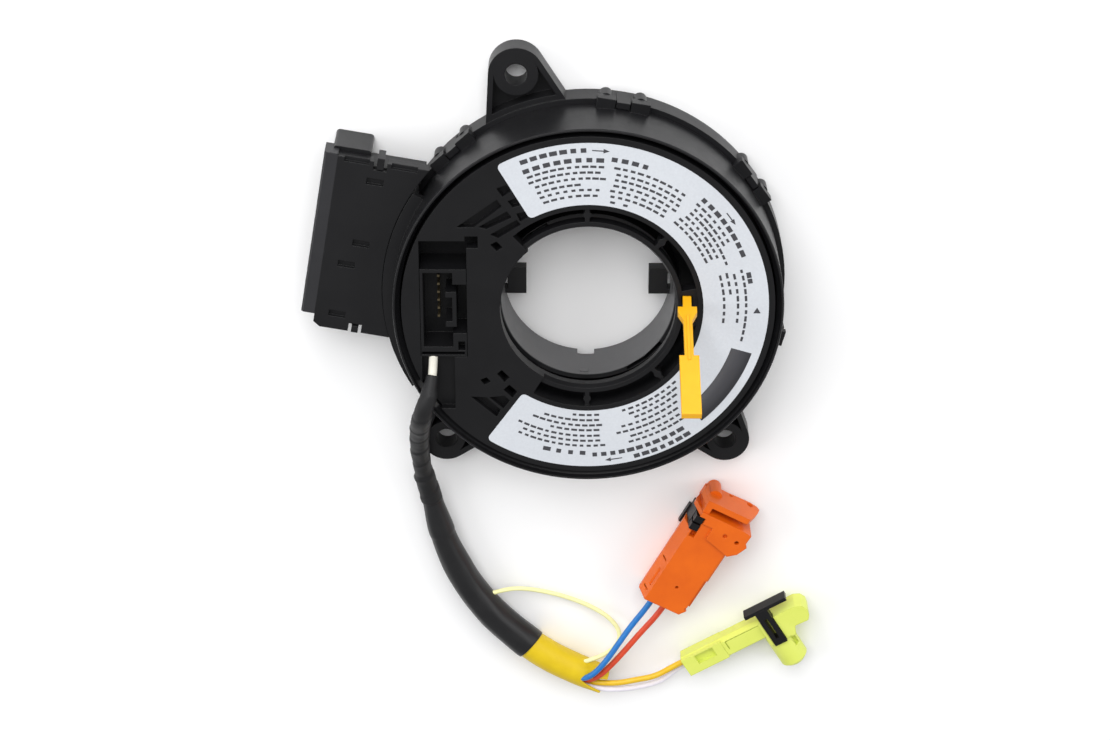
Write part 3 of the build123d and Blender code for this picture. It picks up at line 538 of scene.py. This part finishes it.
yellowTube = {
    "node": "yellow_tube", "slot": "yellow_vinyl", "wall": 0.45, "step": 0.3,
    "points": [(-15.6, -110.3, 4.6), (-13.7, -111.9, 4.6), (-8.8, -115.6, 4.5), (-3.6, -118.6, 4.4),
               (0.9, -121.0, 4.3), (5.6, -123.2, 4.25)],
    "radii": [(0.0, 4.1), (0.2, 4.2), (0.7, 4.2), (1.0, 3.95)],
    "slitStart": 0.72, "slitWidth": 74.0,
    "creases": 6.0, "markScale": 260.0, "dark": (0.62, 0.42, 0.003), "light": (0.76, 0.56, 0.008),
    "roughness": 0.42, "specular": 0.4,
    # painted shade: the tube's inner skin is painted a darker orange than its outer skin
    "inside": {"dark": (0.30, 0.15, 0.01), "light": (0.45, 0.25, 0.01), "roughness": 0.6},
}


def tubeRadius(t, along, angle):
    return profile(yellowTube["radii"], t)


def slitAt(t):
    # degrees of the skin that are cut away on top, more towards the open end
    past = max(0.0, t - yellowTube["slitStart"]) / (1 - yellowTube["slitStart"])
    return yellowTube["slitWidth"] * past ** 0.7


tubeLine = evenly(smoothLine("yellowTube", yellowTube["points"]), yellowTube["step"] * mm)
tubeSkin = tubeMesh("yellowTube", tubeLine, {"radius": tubeRadius, "slit": slitAt, "sides": 48})
tubePiece = newPiece("yellowTube", tubeSkin, softVinyl("yellowVinyl", yellowTube), "rotor")
# the solidified inner shell takes the painted-shade colour
tubeSkin.materials.append(wirePaint("tubeInsideShade", yellowTube["inside"]))
wall = tubePiece.modifiers.new("wall", "SOLIDIFY")
wall.thickness = yellowTube["wall"] * mm
wall.offset = -1.0
wall.material_offset = 1
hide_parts(yellowTube["node"])
declareCord(sleevePiece, harnessSleeve, sleeveLine, path=sleeveLine, with_pieces=[tubePiece])

wires = {
    "blueWire": {
        "node": "blue_wire", "slot": "blue_wire", "plug": ("orange_plug", "orange_plug_lock"),
        "length": 36.2, "dark": (0.006, 0.12, 0.40), "light": (0.015, 0.20, 0.58),
        "points": [(-3.6, -119.4, 5.2), (-0.9, -121.0, 7.6), (2.6, -118.3, 9.2),
                   (6.0, -113.9, 9.2), (9.1, -109.2, 8.2), (12.8, -104.0, 6.4),
                   (17.146, -97.939, 6.0), (19.305, -93.878, 6.0)]},
    "redWire": {
        "node": "red_wire", "slot": "red_wire", "plug": ("orange_plug", "orange_plug_lock"),
        "length": 38.1, "dark": (0.52, 0.035, 0.010), "light": (0.72, 0.075, 0.020),
        "points": [(-3.0, -120.6, 5.2), (0.0, -122.3, 6.4), (3.9, -120.0, 7.9),
                   (7.6, -115.9, 7.9), (11.4, -111.4, 7.1), (15.6, -106.2, 6.0),
                   (20.313, -100.076, 6.0), (22.661, -95.661, 6.0)]},
    "amberWire": {
        "node": "amber_wire", "slot": "amber_wire", "plug": ("yellow_plug", "yellow_plug_lock"),
        "length": 33.0, "dark": (0.66, 0.38, 0.005), "light": (0.82, 0.54, 0.015),
        "points": [(-2.4, -121.2, 4.2), (1.2, -123.1, 5.3), (5.4, -123.2, 5.9),
                   (9.8, -123.3, 5.8), (14.6, -122.3, 5.6), (20.0, -121.6, 4.9),
                   (24.758, -118.604, 4.4), (27.827, -116.723, 4.4)]},
    "whiteWire": {
        "node": "white_wire", "slot": "white_wire", "plug": ("yellow_plug", "yellow_plug_lock"),
        "length": 34.9, "dark": (0.72, 0.68, 0.76), "light": (0.88, 0.85, 0.92),
        "points": [(-2.0, -122.6, 4.0), (1.4, -124.5, 5.4), (5.6, -125.3, 5.8),
                   (10.6, -126.0, 4.8), (16.0, -125.9, 3.7), (21.6, -124.6, 3.0),
                   (25.869, -120.034, 3.2), (28.768, -118.258, 3.2)]},
}

for name, look in wires.items():
    look.update(diameter=1.6, farEnd="plug", stiffness="medium", roughness=0.35)
    wire = bevelledWire(name, look)
    declareCord(wire, look, smoothLine(name, look["points"]),
                with_pieces=[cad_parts[n] for n in look["plug"]])

loopWire = {
    "node": "loop_wire", "slot": "cream_wire", "diameter": 1.2, "length": 56.6, "farEnd": "object",
    "stiffness": "limp", "dark": (0.80, 0.78, 0.34), "light": (0.93, 0.91, 0.50), "roughness": 0.4,
    "points": [(-26.6, -95.2, 4.8), (-22.6, -94.0, 4.2), (-16.8, -94.0, 2.8), (-7.4, -96.8, 1.5),
               (0.4, -99.9, 1.5), (7.0, -103.6, 2.4), (10.2, -107.8, 3.8), (9.3, -111.7, 4.4),
               (6.0, -114.4, 4.8), (2.6, -115.8, 5.2), (-0.8, -116.9, 5.4)],
}
loopPiece = bevelledWire("loopWire", loopWire)
declareCord(loopPiece, loopWire, smoothLine("loopWire", loopWire["points"]))
print("cords ready")


# label print: plain bars in rows, arrows, a triangle and a grey patch, a hair above the film
labelPrint = {
    "film": 22.0, "thick": 0.05, "lift": 0.005, "ink": (0.045, 0.045, 0.052),
    "patchDark": (0.17, 0.17, 0.175), "patchLight": (0.30, 0.30, 0.305),
    "patch": {"low": 37.1, "high": 42.45, "start": -16.2, "end": -47.0},
    "arrows": [(42.6, 89.3, 83.6), (42.4, 38.5, 33.3), (42.95, -77.8, -83.7)],
    "arrowShaft": 0.28, "arrowHead": (1.5, 1.15), "triangle": (41.6, -0.2, 1.05),
    "headings": {"height": 1.15, "pitch": 2.3, "fill": (0.5, 0.86), "rows": [
        (42.6, 113.3, 90.5), (40.1, 114.0, 84.8), (40.6, 83.2, 69.2), (40.5, 48.5, 21.0),
        (40.4, 15.6, 10.0), (43.2, -52.6, -74.3), (41.1, -53.3, -88.7), (40.6, -89.8, -106.0)]},
    "lines": {"height": 0.6, "pitch": 1.75, "fill": (0.5, 0.9), "rows": [
        (38.4, 113.2, 84.5), (36.9, 113.7, 85.6), (35.35, 112.2, 83.4), (33.75, 112.5, 93.4),
        (32.35, 112.1, 85.0), (30.85, 111.3, 85.8), (38.5, 81.4, 52.8), (36.9, 80.5, 52.7),
        (35.45, 80.8, 51.7), (33.95, 80.6, 51.5), (32.5, 81.7, 54.4), (31.05, 81.3, 53.8),
        (29.55, 80.8, 71.2), (38.7, 48.6, 28.2), (37.3, 47.8, 27.9), (35.95, 47.8, 19.7),
        (34.5, 47.7, 23.8), (33.1, 49.3, 24.6), (31.6, 49.7, 24.0), (38.9, 17.4, -12.9),
        (36.9, 16.0, -5.6), (35.2, 17.2, 7.0), (33.5, 17.0, -6.2), (38.8, -50.7, -74.4),
        (37.3, -50.9, -72.9), (35.6, -49.9, -78.3), (34.0, -48.0, -75.7), (32.4, -46.0, -68.8),
        (31.0, -43.7, -70.5), (29.6, -41.3, -73.5), (38.5, -82.6, -117.2), (37.05, -84.3, -116.2),
        (35.6, -84.6, -119.5), (34.0, -84.4, -106.4), (32.6, -83.0, -114.8), (31.1, -83.9, -110.6),
        (29.6, -83.6, -97.8)]},
}


class Nodes:
    # a geometry node group with named inputs
    def __init__(self, name, inputs):
        self.group = bpy.data.node_groups.new(name, "GeometryNodeTree")
        self.inputs = {}
        for label, kind, value in inputs:
            socket = self.group.interface.new_socket(label, in_out="INPUT", socket_type="NodeSocket" + kind)
            if value is not None:
                socket.default_value = value
            self.inputs[label] = socket.identifier
        self.group.interface.new_socket("Geometry", in_out="OUTPUT", socket_type="NodeSocketGeometry")
        self.source = self.group.nodes.new("NodeGroupInput")

    def given(self, label):
        return self.source.outputs[label]

    def add(self, kind, values=None, settings=None, out=0):
        node = self.group.nodes.new(kind)
        for key, value in (settings or {}).items():
            setattr(node, key, value)
        for key, value in (values or {}).items():
            if isinstance(value, bpy.types.NodeSocket):
                self.group.links.new(value, node.inputs[key])
            else:
                node.inputs[key].default_value = value
        return node.outputs[out]

    def vector(self, x, y, z):
        return self.add("ShaderNodeCombineXYZ", {0: x, 1: y, 2: z})

    def finish(self, geometry):
        realized = self.add("GeometryNodeRealizeInstances", {0: geometry})
        dressed = self.add("GeometryNodeSetMaterial",
                           {"Geometry": realized, "Material": self.given("Material")})
        output = self.group.nodes.new("NodeGroupOutput")
        self.group.links.new(dressed, output.inputs[0])

    def mesh(self, values):
        # the group's own result for these inputs
        carrier = bpy.data.objects.new(self.group.name, bpy.data.meshes.new(self.group.name))
        scene.collection.objects.link(carrier)
        modifier = carrier.modifiers.new("nodes", "NODES")
        modifier.node_group = self.group
        for label, value in values.items():
            modifier[self.inputs[label]] = value
        built = carrier.evaluated_get(bpy.context.evaluated_depsgraph_get())
        result = bpy.data.meshes.new_from_object(built)
        bpy.data.objects.remove(carrier)
        return result


def wordRowNodes():
    # bars of uneven length, end to end along an arc
    g = Nodes("wordRow", [("Radius", "Float", 0.04), ("Start", "Float", 0.0), ("Sweep", "Float", 1.0),
                          ("Pitch", "Float", 0.002), ("Height", "Float", 0.001), ("Shortest", "Float", 0.5),
                          ("Longest", "Float", 0.8), ("Thickness", "Float", 0.0001), ("Level", "Float", 0.0),
                          ("Seed", "Int", 0), ("Material", "Material", None)])
    arc = g.add("GeometryNodeCurveArc", {"Resolution": 96, "Radius": g.given("Radius"),
                                         "Start Angle": g.given("Start"), "Sweep Angle": g.given("Sweep")})
    lift = g.vector(0.0, 0.0, g.given("Level"))
    raised = g.add("GeometryNodeTransform", {"Geometry": arc, "Translation": lift})
    spots = g.add("GeometryNodeResampleCurve", {"Curve": raised, "Length": g.given("Pitch")},
                  {"mode": "LENGTH"})
    tangent = g.add("GeometryNodeInputTangent")
    facing = g.add("FunctionNodeAlignRotationToVector", {"Vector": tangent}, {"axis": "X"})
    size = g.vector(g.given("Pitch"), g.given("Height"), g.given("Thickness"))
    bar = g.add("GeometryNodeMeshCube", {"Size": size})
    share = g.add("FunctionNodeRandomValue", {"Min": g.given("Shortest"), "Max": g.given("Longest"),
                                              "Seed": g.given("Seed")}, {"data_type": "FLOAT"}, out=1)
    bars = g.add("GeometryNodeInstanceOnPoints", {"Points": spots, "Instance": bar, "Rotation": facing,
                                                  "Scale": g.vector(share, 1.0, 1.0)})
    g.finish(bars)
    return g


def arcStripNodes():
    # a flat band that follows an arc
    g = Nodes("arcStrip", [("Radius", "Float", 0.04), ("Start", "Float", 0.0), ("Sweep", "Float", 1.0),
                           ("Width", "Float", 0.005), ("Thickness", "Float", 0.0001),
                           ("Level", "Float", 0.0),
                           ("Material", "Material", None)])
    arc = g.add("GeometryNodeCurveArc", {"Resolution": 48, "Radius": g.given("Radius"),
                                         "Start Angle": g.given("Start"), "Sweep Angle": g.given("Sweep")})
    lift = g.vector(0.0, 0.0, g.given("Level"))
    raised = g.add("GeometryNodeTransform", {"Geometry": arc, "Translation": lift})
    section = g.add("GeometryNodeCurvePrimitiveQuadrilateral", {"Width": g.given("Width"),
                                                                "Height": g.given("Thickness")})
    g.finish(g.add("GeometryNodeCurveToMesh",
                   {"Curve": raised, "Profile Curve": section, "Fill Caps": True}))
    return g


def polarPlace(radius, degrees, level):
    angle = math.radians(degrees)
    return Vector((radius * math.cos(angle), radius * math.sin(angle), level))


def flatPrism(outline, level, thick):
    # an outline in millimetres as a closed slab
    bm = bmesh.new()
    base = bm.faces.new([bm.verts.new((x * mm, y * mm, level * mm)) for x, y in outline])
    risen = bmesh.ops.extrude_face_region(bm, geom=[base])
    tops = [v for v in risen["geom"] if isinstance(v, bmesh.types.BMVert)]
    bmesh.ops.translate(bm, verts=tops, vec=(0.0, 0.0, thick * mm))
    bmesh.ops.recalc_face_normals(bm, faces=bm.faces)
    mesh = bpy.data.meshes.new("flatPrism")
    bm.to_mesh(mesh)
    bm.free()
    return mesh


def arrowOutline(radius, start, end, shaft, head):
    tail = polarPlace(radius, start, 0.0)
    tip = polarPlace(radius, end, 0.0)
    ahead = (tip - tail).normalized()
    side = Vector((-ahead.y, ahead.x, 0.0))
    neck = tip - ahead * head[0]
    corners = [tail + side * shaft / 2, neck + side * shaft / 2, neck + side * head[1] / 2, tip,
               neck - side * head[1] / 2, neck - side * shaft / 2, tail - side * shaft / 2]
    return [(c.x, c.y) for c in corners]


def triangleOutline(radius, degrees, reach):
    middle = polarPlace(radius, degrees, 0.0)
    return [(middle.x + reach * math.cos(math.radians(a)), middle.y + reach * math.sin(math.radians(a)))
            for a in (90, 210, 330)]


def gather(name, parts):
    # joins (mesh, material number) pairs
    bm = bmesh.new()
    for mesh, number in parts:
        before = len(bm.faces)
        bm.from_mesh(mesh)
        bm.faces.ensure_lookup_table()
        for face in bm.faces[before:]:
            face.material_index = number
        bpy.data.meshes.remove(mesh)
    joined = bpy.data.meshes.new(name)
    bm.to_mesh(joined)
    bm.free()
    return joined


def makeLabelPrint(look):
    ink = wirePaint("labelInk", {"dark": look["ink"], "light": look["ink"], "roughness": 0.5})
    grey = wirePaint("labelPatch",
                     {"dark": look["patchDark"], "light": look["patchLight"], "roughness": 0.4})
    rowNodes = wordRowNodes()
    level = look["film"] + look["lift"]
    parts = []
    for kind in ("headings", "lines"):
        style = look[kind]
        for number, (radius, start, end) in enumerate(style["rows"]):
            margin = math.degrees(style["pitch"] / 2 / radius)
            parts.append((rowNodes.mesh({
                "Radius": radius * mm, "Start": math.radians(start - margin),
                "Sweep": math.radians(end - start + 2 * margin), "Pitch": style["pitch"] * mm,
                "Height": style["height"] * mm, "Shortest": style["fill"][0], "Longest": style["fill"][1],
                "Thickness": look["thick"] * mm, "Level": level * mm, "Seed": number * 7 + 3,
                "Material": ink}), 0))
    for arrow in look["arrows"]:
        outline = arrowOutline(*arrow, look["arrowShaft"], look["arrowHead"])
        parts.append((flatPrism(outline, level, look["thick"] / 2), 0))
    parts.append((flatPrism(triangleOutline(*look["triangle"]), level, look["thick"] / 2), 0))
    patch = look["patch"]
    strip = arcStripNodes().mesh({
        "Radius": (patch["low"] + patch["high"]) / 2 * mm, "Start": math.radians(patch["start"]),
        "Sweep": math.radians(patch["end"] - patch["start"]), "Width": (patch["high"] - patch["low"]) * mm,
        "Thickness": look["thick"] * mm, "Level": level * mm, "Material": grey})
    parts.append((strip, 1))
    piece = newPiece("labelPrint", gather("labelPrint", parts), ink, "rotor")
    piece.data.materials.append(grey)
    print("label print has", len(piece.data.polygons), "faces")


makeLabelPrint(labelPrint)


# the white paper that it lies on
def makeFloor(s):
    half = s["floorSize"] / 2
    mesh = bpy.data.meshes.new("floor")
    corners = [(-half, -half), (half, -half), (half, half), (-half, half)]
    mesh.from_pydata([(x, y, -s["floorDrop"]) for x, y in corners], [], [(0, 1, 2, 3)])
    floor = bpy.data.objects.new("floor", mesh)
    scene.collection.objects.link(floor)
    p = Paint("floorPaper")
    fibre = p.noise(p.objectPlace(), s["paperFibre"], 2.0)
    colour = p.mix(fibre, s["paperDark"], s["paperLight"])
    mesh.materials.append(p.shader({"Base Color": colour, "Roughness": s["paperRoughness"]}))


makeFloor(studio)
